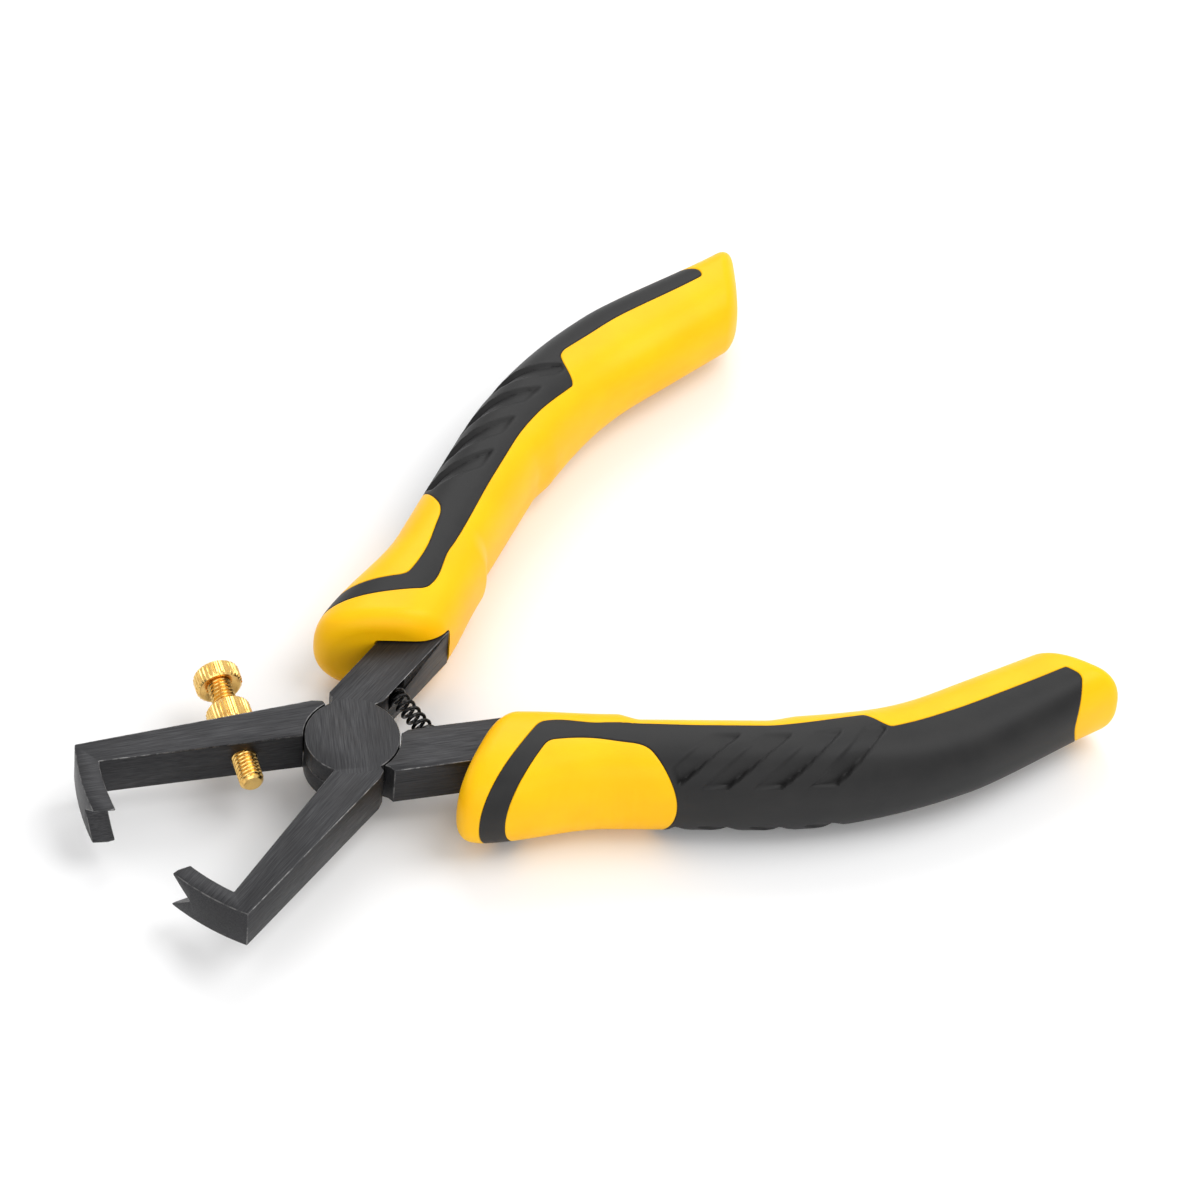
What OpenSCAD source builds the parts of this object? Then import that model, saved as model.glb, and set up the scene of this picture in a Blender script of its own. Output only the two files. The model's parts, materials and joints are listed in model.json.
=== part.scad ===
// Adjustable wire-stripping pliers: two lapped steel levers with hooked V blades, a
// pivot rivet, a return spring, a brass stop screw with its lock nut, and two grips
// of hard plastic with a rubber overmould. Drawn open, as the spring holds them.
// +X runs along the tool towards the handles, +Z is up, and the pivot is vertical.

/* [Levers] */
// Thickness of the forged levers
metal_t = 7.7; // [7:0.1:8.4]
// Radius of the lapped discs round the pivot
disc_r = 7.5; // [7.2:0.1:7.6]
// Air gap between the lapped halves
lap_gap = 0.15; // [0.1:0.05:0.3]
// Width of each shank between the disc and the grip
shank_w = 7.9; // [7:0.1:8]
// Angle of each shank from the tool's centre line
shank_angle = 21.7; // [21:0.1:23]
// Radius of the pivot rivet
rivet_r = 3.0; // [2.5:0.1:3.2]

/* [Jaws] */
// Angle of each arm's outer edge from the centre line
arm_out_angle = 19.2; // [18.8:0.1:19.6]
// Angle of each arm's inner edge from the centre line
arm_in_angle = 23.7; // [23.4:0.1:24]
// How far the front arm is set out, and the rear arm in, from those angles
arm_set = 1.5; // [1:0.1:2]
// Radius of the front blade's outer face about the pivot
front_blade_r = 39.6; // [38:0.1:39.7]
// Thickness of the front blade
front_blade_t = 3.0; // [2.6:0.1:3.2]
// Radius of the rear blade's outer face about the pivot
rear_blade_r = 43.4; // [43:0.1:44]
// Thickness of the rear blade
rear_blade_t = 3.45; // [3:0.05:3.45]
// Angle from the centre line to each blade's tip
tip_angle = 11.2; // [11:0.1:12]
// Depth of each V notch
notch_depth = 3.3; // [2.8:0.1:3.5]
// Width of each V notch at its mouth
notch_w = 6.6; // [5.5:0.1:6.8]

/* [Stop screw] */
// Outer radius of the screw's thread
thread_r = 1.98; // [1.8:0.02:2]
// Thread pitch
pitch = 0.7; // [0.5:0.05:0.8]
// Radius of the knurled head
head_r = 3.75; // [3.5:0.05:4]
// Length of the knurled head
head_len = 3.0; // [2.5:0.1:3.5]
// Radius of the knurled lock nut
nut_r = 3.6; // [3.3:0.05:3.8]
// Length of the lock nut
nut_len = 4.4; // [4:0.1:4.5]

/* [Return spring] */
// Radius of the spring's coils to the wire's centre
coil_r = 1.3; // [1:0.05:1.35]
// Radius of the spring wire
wire_r = 0.3; // [0.2:0.02:0.32]
// Number of turns
turns = 10; // [8:0.5:10]

/* [Grips] */
// Half thickness of each grip, top to bottom
grip_half_t = 9.4; // [9:0.1:10]
// Half width of each grip at its front flare
flare_half_w = 8.9; // [8.5:0.1:9.2]
// Half width of each grip at its waist
waist_half_w = 7.4; // [7.2:0.1:7.8]
// Length of each grip along its centre line
grip_len = 102; // [98:1:104]
// Thickness of the rubber overmould
rubber_t = 1.7; // [1.2:0.1:2]

/* [Hidden] */
steel = [0.23, 0.23, 0.24];
brass = [0.83, 0.62, 0.24];
yellow = [0.98, 0.76, 0.05];
charcoal = [0.2, 0.2, 0.21];
wire_black = [0.08, 0.08, 0.08];
$fn = 96;
eps = 0.01;

// The design is drawn round the pivot at the metal's mid-plane, then set down so that
// the grips stand on z = 0 with the origin under the middle of the whole tool.
middle_x = 33.25;
half_t = metal_t / 2;
module placed() translate([-middle_x, 0, grip_half_t - flat_cut]) children();
module lower_side() mirror([0, 1, 0]) children();

function along(a) = [cos(a), sin(a)];
function across(a) = [-sin(a), cos(a)];
// Where the line through p at angle a meets the circle of radius r, on its far side.
function line_to_radius(p, a, r) =
    let (d = along(a), b = p * d, c = p * p - r * r) p + d * (sqrt(b * b - c) - b);

// ---- Levers. Each is drawn with its handle towards +Y and its jaw towards -Y.
arm_root = [-1.2, -9.45];
arm_in_start = [-6.5, -4.2];
arm_end_foot = [0.2, -7];
shank_corner = [1.5, 9.3];
shank_foot = [0.6, 7];
shank_len = 22;
tang_end = 42;
tang_w = 6;
tang_t = 5;
shoulder_gap = 0.2;
out_heading = 180 + arm_out_angle;
in_heading = 180 + arm_in_angle;

function arc_points(r, a0, a1, n) = [for (i = [0:n]) r * along(a0 + (a1 - a0) * i / n)];
function heading_of(p) = atan2(p[1], p[0]);

module arm_plan(blade_r, blade_t) {
    out_corner = line_to_radius(arm_root, out_heading, blade_r);
    in_corner = line_to_radius(arm_in_start, in_heading, blade_r - blade_t);
    polygon(concat(
        [[0, 0], arm_end_foot, [arm_end_foot[0], arm_root[1] + 1], arm_root],
        arc_points(blade_r, heading_of(out_corner), -180 + tip_angle, 12),
        arc_points(blade_r - blade_t, -180 + tip_angle, heading_of(in_corner), 12),
        [arm_in_start]));
}
// The front lever's arm turns out by arm_set and the rear one's turns in by it.
module arm_turn(outwards) rotate([0, 0, outwards ? arm_set : -arm_set]) children();

module shank_plan() {
    d = along(shank_angle);
    n = across(shank_angle);
    near_in = shank_corner - n * shank_w + d * 4;
    polygon([[0, 0], shank_foot, shank_corner - d * 0.3 - n * 0.9, shank_corner + d * 0.3,
        shank_corner + d * shank_len, shank_corner + d * shank_len - n * shank_w,
        near_in, near_in - d * 3 + n * 1.5]);
}

// The tang runs on inside the grip, bending over to the grip's own line. c widens it.
module tang(c) translate([0, 0, -tang_t / 2 - c]) linear_extrude(tang_t + 2 * c) {
    d = along(shank_angle);
    inner = shank_corner - across(shank_angle) * (shank_w - 1);
    polygon([shank_corner + d * 14, at_line(21, tang_w / 2 + c), at_line(tang_end + c, tang_w / 2 + c),
        at_line(tang_end + c, -tang_w / 2 - c), at_line(21, -tang_w / 2 - c), inner + d * 19,
        inner + d * 12]);
}

// A V cut through a blade's tip. The edge is sharp on one face and widens to a bevel
// on the other.
module notch(edge_r, bevel_r) {
    bevel = 1.5;
    module v(r, extra) rotate([0, 0, -180 + tip_angle]) translate([r, 0, 0])
        rotate([0, -90, 0]) linear_extrude(eps, center = true)
            polygon([[-notch_w / 2 - extra - 2, -2], [notch_w / 2 + extra + 2, -2],
                [0, notch_depth + extra]]);
    hull() {
        v(edge_r, 0);
        v(bevel_r, bevel);
    }
}

module lever_body(blade_r, blade_t, disc_on_top) {
    difference() {
        translate([0, 0, -half_t]) linear_extrude(metal_t) {
            arm_turn(disc_on_top) arm_plan(blade_r, blade_t);
            shank_plan();
        }
        cylinder(r = disc_r + shoulder_gap, h = metal_t + 2, center = true);
    }
    // The part of the arm and shank under this lever's own disc, and the disc itself.
    intersection() {
        cylinder(r = disc_r + shoulder_gap + eps, h = metal_t + 2, center = true);
        translate([0, 0, disc_on_top ? lap_gap / 2 : -half_t])
            linear_extrude(half_t - lap_gap / 2) union() {
                arm_turn(disc_on_top) arm_plan(blade_r, blade_t);
                shank_plan();
                circle(r = disc_r);
            }
    }
    tang(0);
}

// A slot across the shank that seats one end of the return spring.
spring_x = 11.3;
spring_z = 1.95;
spring_seat_y = 7.1;
seat_w = 3.7;
module spring_slot(depth_y)
    translate([spring_x - seat_w / 2, depth_y - 5, spring_z - seat_w / 2])
        cube([seat_w, 5, seat_w]);

rivet_cover = 1.3;
running_fit = 0.03;

module lever_upper() color(steel) placed() difference() {
    lever_body(front_blade_r, front_blade_t, true);
    translate([0, 0, -half_t])
        cylinder(r = rivet_r + running_fit, h = metal_t - rivet_cover);
    spring_slot(spring_seat_y);
    arm_turn(true) notch(front_blade_r + 0.5, front_blade_r - front_blade_t - 0.5);
}

screw_clear = 0.05;
module lever_lower() color(steel) placed() lower_side() difference() {
    lever_body(rear_blade_r, rear_blade_t, false);
    cylinder(r = rivet_r, h = metal_t + 2, center = true);
    translate([0, 0, -half_t - eps])
        cylinder(r1 = rivet_head_r + eps, r2 = rivet_r, h = rivet_head_h + eps);
    translate([spring_x, spring_seat_y, spring_z]) rotate([90, 0, 0])
        cylinder(r = seat_w / 2, h = 5);
    on_screw_axis() translate([0, 0, -12])
        cylinder(r = thread_r + screw_clear, h = 16);
    arm_turn(false) notch(rear_blade_r - rear_blade_t - 0.5, rear_blade_r + 0.5);
}

// ---- Pivot rivet: blind from above, with a countersunk head underneath.
rivet_head_r = 4.2;
rivet_head_h = 1.2;
module pivot_rivet() color(steel) placed() {
    translate([0, 0, -half_t])
        cylinder(r = rivet_r, h = metal_t - rivet_cover - 0.15);
    translate([0, 0, -half_t]) cylinder(r1 = rivet_head_r, r2 = rivet_r, h = rivet_head_h);
}

// ---- Return spring: an open coil between the two shanks, its end turns closed up.
module return_spring() color(wire_black) placed() {
    points = [for (i = [0:coil_steps]) each coil_ring(i)];
    walls = [for (i = [0:coil_steps - 1], k = [0:wire_sides - 1]) [coil_point(i, k),
        coil_point(i + 1, k), coil_point(i + 1, k + 1), coil_point(i, k + 1)]];
    first = [for (k = [0:wire_sides - 1]) coil_point(0, k)];
    last = [for (k = [wire_sides - 1:-1:0]) coil_point(coil_steps, k)];
    polyhedron(points, concat(walls, [first, last]), convexity = 10);
}
wire_sides = 8;
coil_steps = ceil(turns * 16);
coil_span = 2 * (spring_seat_y - wire_r - 0.1);
// The end turns climb more slowly than the open ones.
closed_share = 0.1;
closed_climb = 0.054;
function climb(t) = t < closed_share ? t / closed_share * closed_climb
    : t > 1 - closed_share ? 1 - (1 - t) / closed_share * closed_climb
    : closed_climb + (t - closed_share) * (1 - 2 * closed_climb) / (1 - 2 * closed_share);
function coil_out(i) = let (a = 360 * turns * i / coil_steps) [cos(a), 0, sin(a)];
function coil_ring(i) = let (out = coil_out(i),
        c = [spring_x, coil_span * (climb(i / coil_steps) - 0.5), spring_z] + coil_r * out)
    [for (k = [0:wire_sides - 1]) let (b = 360 * k / wire_sides)
        c + wire_r * (cos(b) * out + sin(b) * [0, 1, 0])];
function coil_point(i, k) = i * wire_sides + k % wire_sides;

// ---- Stop screw. Its axis is square to the lower lever's arm; local +Z points out of
// the arm's outer side, and z = 0 is that side.
screw_out = 12.45;
screw_reach = 11.2;
head_gap = 8.9;
module on_screw_axis() arm_turn(false) {
    foot = arm_root + along(out_heading) * screw_out;
    translate([foot[0], foot[1], 0]) rotate([0, 0, out_heading + 90]) rotate([0, 90, 0])
        children();
}

// A straight knurl: a prism with rounded teeth, its ends broken by a small chamfer.
module knurled(r, len, teeth) {
    tooth = 0.22;
    chamfer = 0.45;
    intersection() {
        linear_extrude(len) polygon([for (i = [0:2 * teeth - 1])
            (i % 2 == 0 ? r : r - tooth) * along(180 * i / teeth)]);
        rotate_extrude() polygon([[0, 0], [r - chamfer, 0], [r + chamfer, 2 * chamfer],
            [r + chamfer, len - 2 * chamfer], [r - chamfer, len], [0, len]]);
    }
}

module stop_screw() color(brass) placed() lower_side() on_screw_axis() {
    depth = 0.42;
    crest = 0.1;
    low = -screw_reach + 0.5;
    rings = floor((head_gap + 0.6 - low) / pitch);
    rotate_extrude() polygon(concat(
        [[0, -screw_reach], [thread_r - depth, -screw_reach], [thread_r - depth, low]],
        [for (i = [0:rings - 1]) each [[thread_r - depth, low + i * pitch + 0.02],
            [thread_r, low + i * pitch + pitch / 2 - crest],
            [thread_r, low + i * pitch + pitch / 2 + crest],
            [thread_r - depth, low + (i + 1) * pitch - 0.02]]],
        [[thread_r - depth, head_gap + 1], [0, head_gap + 1]]));
    // The head is dished on the side that faces the nut.
    translate([0, 0, head_gap]) difference() {
        knurled(head_r, head_len, 30);
        translate([0, 0, -eps]) cylinder(r1 = head_r - 0.7, r2 = thread_r, h = 0.8);
    }
}

module lock_nut() color(brass) placed() lower_side() on_screw_axis()
    translate([0, 0, nut_seat]) difference() {
        knurled(nut_r, nut_len, 30);
        translate([0, 0, -1]) cylinder(r = thread_r + screw_clear, h = nut_len + 2);
    }
nut_seat = 0.05;

// ---- Grips. The centre line is straight, then bends over an arc, then runs straight
// to the tail. s is the distance along it from the front.
grip_start = [14.5, 13.8];
grip_heading = 32;
tail_heading = 6;
bend_start = 44;
bend_r = 75;
bend_len = bend_r * (grip_heading - tail_heading) * PI / 180;

function ramp(s, a, b) = let (t = max(0, min(1, (s - a) / (b - a)))) t * t * (3 - 2 * t);
function grip_turn(s) = let (t = max(0, min(bend_len, s - bend_start))) t / bend_r * 180 / PI;
function grip_dir(s) = grip_heading - grip_turn(s);
function grip_centre(s) =
    let (bend = grip_start + along(grip_heading) * min(s, bend_start),
        hub = grip_start + along(grip_heading) * bend_start - across(grip_heading) * bend_r)
    s <= bend_start ? bend
    : hub + across(grip_dir(s)) * bend_r + along(tail_heading) * max(0, s - bend_start - bend_len);
function at_line(s, u) = grip_centre(s) + u * across(grip_dir(s));
// The ends are cut on a slant, so the cross-sections lean over near them.
front_slant = 25;
tail_slant = 34;
function grip_lean(s) = front_slant * (1 - ramp(s, 0, 24))
    - tail_slant * ramp(s, grip_len - 24, grip_len);
function outer_w(s) = flare_half_w - (flare_half_w - waist_half_w) * ramp(s, 0, 22)
    + 0.4 * ramp(s, 55, 72) - 3 * ramp(s, 76, grip_len) + guard_w(s);
// The inner side has a ledge behind the front, and another where the grip bends.
function inner_w(s) = flare_half_w - 0.5 * ramp(s, 6, 20)
    - (flare_half_w - waist_half_w - 0.1) * ramp(s, ledge, 26)
    + 0.9 * ramp(s, 45, 52) + 0.4 * ramp(s, 62, 80);
function half_h(s) = grip_half_t - 1.7 * ramp(s, 52, 74);
ledge = 21.5;
// The finger guard: extra width at the front, on the outer side only.
guard = 2.5;
function guard_w(s) = guard * ramp(s, -3, 5) * (1 - ramp(s, 5, 20));
// How far the section draws in where an end is rounded over.
front_round = 3.2;
tail_round = 3;
function inset(d, r) = d >= r ? 0 : r - sqrt(max(0, r * r - (r - d) * (r - d)));
function end_inset(s) = inset(s, front_round) + inset(grip_len - s, tail_round);
squareness = 2.5;
function rounded(v) = sign(v) * pow(abs(v), 2 / squareness);
function unrounded(v) = sign(v) * pow(min(1, abs(v)), squareness / 2);

// Each grip is a grid of cells: rows run round it at the stations, columns run along
// it. Two pairs of columns follow the colour lines, so the rubber is a block of cells.
rubber_front = 6;
rubber_end = 92.5;
window_front = 10.6;
window_end = 29.5;
row_step = 4.3;
function spaced(a, b) = let (n = ceil((b - a) / row_step)) [for (i = [0:n - 1]) a + (b - a) * i / n];
stations = concat([0, 0.25, 0.9, 1.9], spaced(front_round, rubber_front), spaced(rubber_front, window_front),
    spaced(window_front, ledge), spaced(ledge, window_end), spaced(window_end, rubber_end),
    [rubber_end, grip_len - tail_round, grip_len - 1.7, grip_len - 0.8, grip_len - 0.2, grip_len]);
rows = len(stations) - 1;
window_cols = 3;
band_cols = 3;
back_cols = 7;
half_cols = window_cols + band_cols + back_cols;
cols = 2 * half_cols;

// Distance of each colour line from the centre line, outwards.
function rubber_edge(s) = -3.3 + 0.9 * ramp(s, 15, 37) + 2.9 * ramp(s, 60, 65)
    + 0.9 * ramp(s, 67, 89);
band_w = 4.2;
// The section's angle at each column, from the outer side round over the top.
function edge_angle(s, u) = let (w = u > 0 ? outer_w(s) : inner_w(s))
    acos(unrounded(max(-0.9, min(0.9, u / w))));
function upper_angle(s, k) = let (window = edge_angle(s, rubber_edge(s) + band_w),
        edge = edge_angle(s, rubber_edge(s)))
    k <= window_cols ? window * k / window_cols
    : k <= window_cols + band_cols ? window + (edge - window) * (k - window_cols) / band_cols
    : edge + (180 - edge) * (k - window_cols - band_cols) / back_cols;
function column_angle(s, k) = k <= half_cols ? upper_angle(s, k) : -upper_angle(s, cols - k);

flat_cut = 0.3;
function grip_vertex(s, k, skin) =
    let (a = column_angle(s, k), lean = grip_lean(s), side = across(grip_dir(s) + lean),
        w = (cos(a) > 0 ? outer_w(s) : inner_w(s)) / cos(lean) - end_inset(s) - skin,
        h = half_h(s) - end_inset(s) - skin,
        p = grip_centre(s) + w * rounded(cos(a)) * side, z = h * rounded(sin(a)),
        top = h - flat_cut)
    [p[0], p[1], max(-top, min(top, z))];
function layer(skin) = [for (s = stations, k = [0:cols - 1]) grip_vertex(s, k, skin)];
function vertex(i, k, level) = level * (rows + 1) * cols + i * cols + (k + cols) % cols;

function in_rubber(i, k) = let (s = (stations[i] + stations[i + 1]) / 2,
        from_side = min(k, cols - 1 - k))
    s > rubber_front && s < rubber_end && from_side < window_cols + band_cols
        && !(s > window_front && s < window_end && from_side < window_cols);
function halves(a, b, c, d) = [[a, c, b], [a, d, c]];
function cell(i, k, level) = halves(vertex(i, k, level), vertex(i, k + 1, level),
    vertex(i + 1, k + 1, level), vertex(i + 1, k, level));
function flipped(faces) = [for (f = faces) [f[0], f[2], f[1]]];
// The step between the outer and inner levels along one edge of the grid.
function step(i, k, i2, k2) = halves(vertex(i, k, 0), vertex(i, k, 1), vertex(i2, k2, 1),
    vertex(i2, k2, 0));
function side_steps(i, k) = let (here = in_rubber(i, k), before = in_rubber(i, (k + cols - 1) % cols))
    here == before ? [] : here ? step(i, k, i + 1, k) : flipped(step(i, k, i + 1, k));
function row_steps(i, k) = let (here = in_rubber(i, k), before = in_rubber(i - 1, k))
    here == before ? [] : here ? flipped(step(i, k, i, k + 1)) : step(i, k, i, k + 1);
steps = concat([for (i = [0:rows - 1], k = [0:cols - 1]) each side_steps(i, k)],
    [for (i = [1:rows - 1], k = [0:cols - 1]) each row_steps(i, k)]);

rubber_seam = 0.02;
module core_skin() polyhedron(concat(layer(0), layer(rubber_t + rubber_seam)),
    concat([for (i = [0:rows - 1], k = [0:cols - 1]) each cell(i, k, in_rubber(i, k) ? 1 : 0)],
        steps, [[for (k = [0:cols - 1]) vertex(0, k, 0)],
        [for (k = [cols - 1:-1:0]) vertex(rows, k, 0)]]), convexity = 8);
module grip_rubber() polyhedron(concat(layer(0), layer(rubber_t)),
    concat([for (i = [0:rows - 1], k = [0:cols - 1]) if (in_rubber(i, k))
            each concat(cell(i, k, 0), flipped(cell(i, k, 1)))], flipped(steps)), convexity = 8);

tang_clear = 0.1;
module tang_space() {
    tang(tang_clear);
    d = along(shank_angle);
    n = across(shank_angle) * tang_clear;
    a = shank_corner - d * 3 + n;
    b = shank_corner + d * (shank_len + tang_clear) + n;
    w = across(shank_angle) * (shank_w + 2 * tang_clear);
    translate([0, 0, -half_t - tang_clear]) linear_extrude(metal_t + 2 * tang_clear)
        polygon([a, b, b - w, a - w]);
}
module grip_core() difference() {
    core_skin();
    tang_space();
}

module grip_core_upper() color(yellow) placed() grip_core();
module grip_core_lower() color(yellow) placed() lower_side() grip_core();
module grip_rubber_upper() color(charcoal) placed() grip_rubber();
module grip_rubber_lower() color(charcoal) placed() lower_side() grip_rubber();

lever_upper();
lever_lower();
pivot_rivet();
return_spring();
stop_screw();
lock_nut();
grip_core_upper();
grip_core_lower();
grip_rubber_upper();
grip_rubber_lower();
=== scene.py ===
"""Adjustable wire-stripping pliers: the finished look of every piece, in the CAD's own frame.

Pieces are shaped in millimetres round the pivot, then set down in metres.
"""

import json
import logging
import math
from dataclasses import dataclass, field
from enum import Enum

import bpy
import numpy as np
from mathutils import Matrix, Vector

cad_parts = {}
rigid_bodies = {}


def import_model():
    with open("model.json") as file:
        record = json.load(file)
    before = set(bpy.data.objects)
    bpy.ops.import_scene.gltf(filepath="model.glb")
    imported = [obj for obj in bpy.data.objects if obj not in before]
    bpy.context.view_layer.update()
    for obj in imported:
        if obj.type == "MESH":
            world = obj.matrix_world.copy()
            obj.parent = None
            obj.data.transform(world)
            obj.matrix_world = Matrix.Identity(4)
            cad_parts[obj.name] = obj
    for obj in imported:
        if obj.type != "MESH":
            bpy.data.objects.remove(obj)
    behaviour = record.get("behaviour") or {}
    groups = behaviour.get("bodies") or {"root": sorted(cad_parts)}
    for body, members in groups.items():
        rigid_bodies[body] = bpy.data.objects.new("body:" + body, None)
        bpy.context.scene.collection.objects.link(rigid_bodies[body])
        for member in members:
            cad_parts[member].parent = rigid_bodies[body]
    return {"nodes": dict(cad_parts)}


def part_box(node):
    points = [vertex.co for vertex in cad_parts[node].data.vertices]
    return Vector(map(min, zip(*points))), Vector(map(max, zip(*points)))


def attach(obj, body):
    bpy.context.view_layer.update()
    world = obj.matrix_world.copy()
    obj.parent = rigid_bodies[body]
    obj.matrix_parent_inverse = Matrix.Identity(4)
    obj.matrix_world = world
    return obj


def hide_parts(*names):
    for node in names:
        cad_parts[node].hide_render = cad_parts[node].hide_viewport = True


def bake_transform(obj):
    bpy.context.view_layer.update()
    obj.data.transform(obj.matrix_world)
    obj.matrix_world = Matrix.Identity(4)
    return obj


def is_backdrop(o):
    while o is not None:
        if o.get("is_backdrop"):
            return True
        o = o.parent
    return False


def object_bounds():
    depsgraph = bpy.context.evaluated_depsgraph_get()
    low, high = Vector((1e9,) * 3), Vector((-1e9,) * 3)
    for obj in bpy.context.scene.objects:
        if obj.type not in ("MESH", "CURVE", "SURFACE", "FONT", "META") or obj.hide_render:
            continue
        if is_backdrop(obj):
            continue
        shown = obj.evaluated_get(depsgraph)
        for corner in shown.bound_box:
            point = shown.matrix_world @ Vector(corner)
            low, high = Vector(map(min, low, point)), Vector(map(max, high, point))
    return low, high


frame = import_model()
LOG = logging.getLogger("wire_stripper")
MM = 0.001
NEAR = 0.01
FACING = 0.9
Array = np.ndarray
Place = tuple[float, float, float]
Colour = tuple[float, float, float, float]


class Side(Enum):
    """Which half of the tool a piece belongs to: the sign is that of its handle's y."""

    UPPER = 1
    LOWER = -1


class Pick(Enum):
    """What an edit-mode selection is made of."""

    POINTS = (True, False, False)
    EDGES = (False, True, False)
    FACES = (False, False, True)


# ---------------------------------------------------------------- the bench


class Bench:
    """Everyday moves: adding a start, marking what is to be worked, and setting down."""

    @staticmethod
    def clear() -> None:
        """Leaves edit mode and lets go of everything."""
        if bpy.context.object and bpy.context.object.mode != "OBJECT":
            bpy.ops.object.mode_set(mode="OBJECT")
        bpy.ops.object.select_all(action="DESELECT")

    @staticmethod
    def take(obj: bpy.types.Object) -> None:
        """Makes one object the only selected and active one."""
        Bench.clear()
        obj.select_set(True)
        bpy.context.view_layer.objects.active = obj

    @staticmethod
    def started(name: str) -> bpy.types.Object:
        """Names the primitive that was just added and puts its place into its mesh.

        Args:
            name: The piece's name.

        Returns:
            The new object, at the origin.
        """
        obj = bpy.context.object
        obj.name = name
        obj.data.name = name
        bpy.ops.object.transform_apply(location=True, rotation=True, scale=True)
        return obj

    @staticmethod
    def points(obj: bpy.types.Object) -> Array:
        """The mesh's points as an n by 3 array."""
        co = np.empty(len(obj.data.vertices) * 3)
        obj.data.vertices.foreach_get("co", co)
        return co.reshape(-1, 3)

    @staticmethod
    def place(obj: bpy.types.Object, co: Array) -> None:
        """Moves the mesh's points to new places."""
        obj.data.vertices.foreach_set("co", np.asarray(co, float).ravel())
        obj.data.update()

    @staticmethod
    def centres(obj: bpy.types.Object) -> Array:
        """The centres of the mesh's faces."""
        mid = np.empty(len(obj.data.polygons) * 3)
        obj.data.polygons.foreach_get("center", mid)
        return mid.reshape(-1, 3)

    @staticmethod
    def normals(obj: bpy.types.Object) -> Array:
        """The directions that the mesh's faces look in."""
        out = np.empty(len(obj.data.polygons) * 3)
        obj.data.polygons.foreach_get("normal", out)
        return out.reshape(-1, 3)

    @staticmethod
    def edge_ends(obj: bpy.types.Object) -> Array:
        """The two point numbers of every edge."""
        ends = np.empty(len(obj.data.edges) * 2, dtype=np.int32)
        obj.data.edges.foreach_get("vertices", ends)
        return ends.reshape(-1, 2)

    @staticmethod
    def rise(obj: bpy.types.Object) -> Array:
        """How far every edge climbs along z."""
        co, ends = Bench.points(obj), Bench.edge_ends(obj)
        return np.abs(co[ends[:, 0], 2] - co[ends[:, 1], 2])

    @staticmethod
    def open_for_work(obj: bpy.types.Object, pick: Pick, chosen: Array | None = None) -> None:
        """Goes into edit mode with only the chosen points, edges or faces selected.

        Args:
            obj: The piece to work on.
            pick: What the selection is made of.
            chosen: True where selected, or None to select all.
        """
        Bench.take(obj)
        mesh = obj.data
        bpy.context.tool_settings.mesh_select_mode = pick.value
        for group in (mesh.vertices, mesh.edges, mesh.polygons):
            group.foreach_set("select", np.zeros(len(group), dtype=bool))
        if chosen is not None:
            groups = {Pick.POINTS: mesh.vertices, Pick.EDGES: mesh.edges, Pick.FACES: mesh.polygons}
            groups[pick].foreach_set("select", np.asarray(chosen, dtype=bool))
        bpy.ops.object.mode_set(mode="EDIT")
        if chosen is None:
            bpy.ops.mesh.select_all(action="SELECT")

    @staticmethod
    def chosen_points(obj: bpy.types.Object) -> Array:
        """Which points the last edit left selected; leaves edit mode."""
        bpy.ops.object.mode_set(mode="OBJECT")
        flags = np.empty(len(obj.data.vertices), dtype=bool)
        obj.data.vertices.foreach_get("select", flags)
        return flags

    @staticmethod
    def modify(obj: bpy.types.Object, kind: str, **settings: object) -> None:
        """Adds one modifier with its settings and applies it."""
        Bench.take(obj)
        modifier = obj.modifiers.new(kind.title(), kind)
        for key, value in settings.items():
            setattr(modifier, key, value)
        bpy.ops.object.modifier_apply(modifier=modifier.name)

    @staticmethod
    def face_outwards(obj: bpy.types.Object) -> None:
        """Turns a closed shape's faces to look outwards."""
        Bench.open_for_work(obj, Pick.FACES)
        bpy.ops.mesh.normals_make_consistent(inside=False)
        bpy.ops.object.mode_set(mode="OBJECT")

    @staticmethod
    def clean(obj: bpy.types.Object, gap: float = 0.003) -> None:
        """Welds points that nearly touch, and takes out flat faces and points on two edges only."""
        Bench.open_for_work(obj, Pick.POINTS)
        bpy.ops.mesh.remove_doubles(threshold=gap)
        bpy.ops.mesh.dissolve_degenerate(threshold=gap)
        Bench.clear()
        on_two_edges = np.bincount(Bench.edge_ends(obj).ravel(), minlength=len(obj.data.vertices)) == 2
        if on_two_edges.any():
            Bench.open_for_work(obj, Pick.POINTS, on_two_edges)
            bpy.ops.mesh.dissolve_verts()
            Bench.clear()

    @staticmethod
    def smooth(obj: bpy.types.Object, degrees: float) -> None:
        """Shades a piece smooth, except where it turns by more than an angle."""
        Bench.take(obj)
        bpy.ops.object.shade_smooth_by_angle(angle=math.radians(degrees))
        Bench.clear()

    @staticmethod
    def dress(obj: bpy.types.Object, *finishes: bpy.types.Material) -> None:
        """Gives a piece its finishes in place of any others."""
        obj.data.materials.clear()
        for finish in finishes:
            obj.data.materials.append(finish)

    @staticmethod
    def remove(obj: bpy.types.Object) -> None:
        """Throws away a cutting tool."""
        bpy.data.objects.remove(obj, do_unlink=True)


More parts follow.
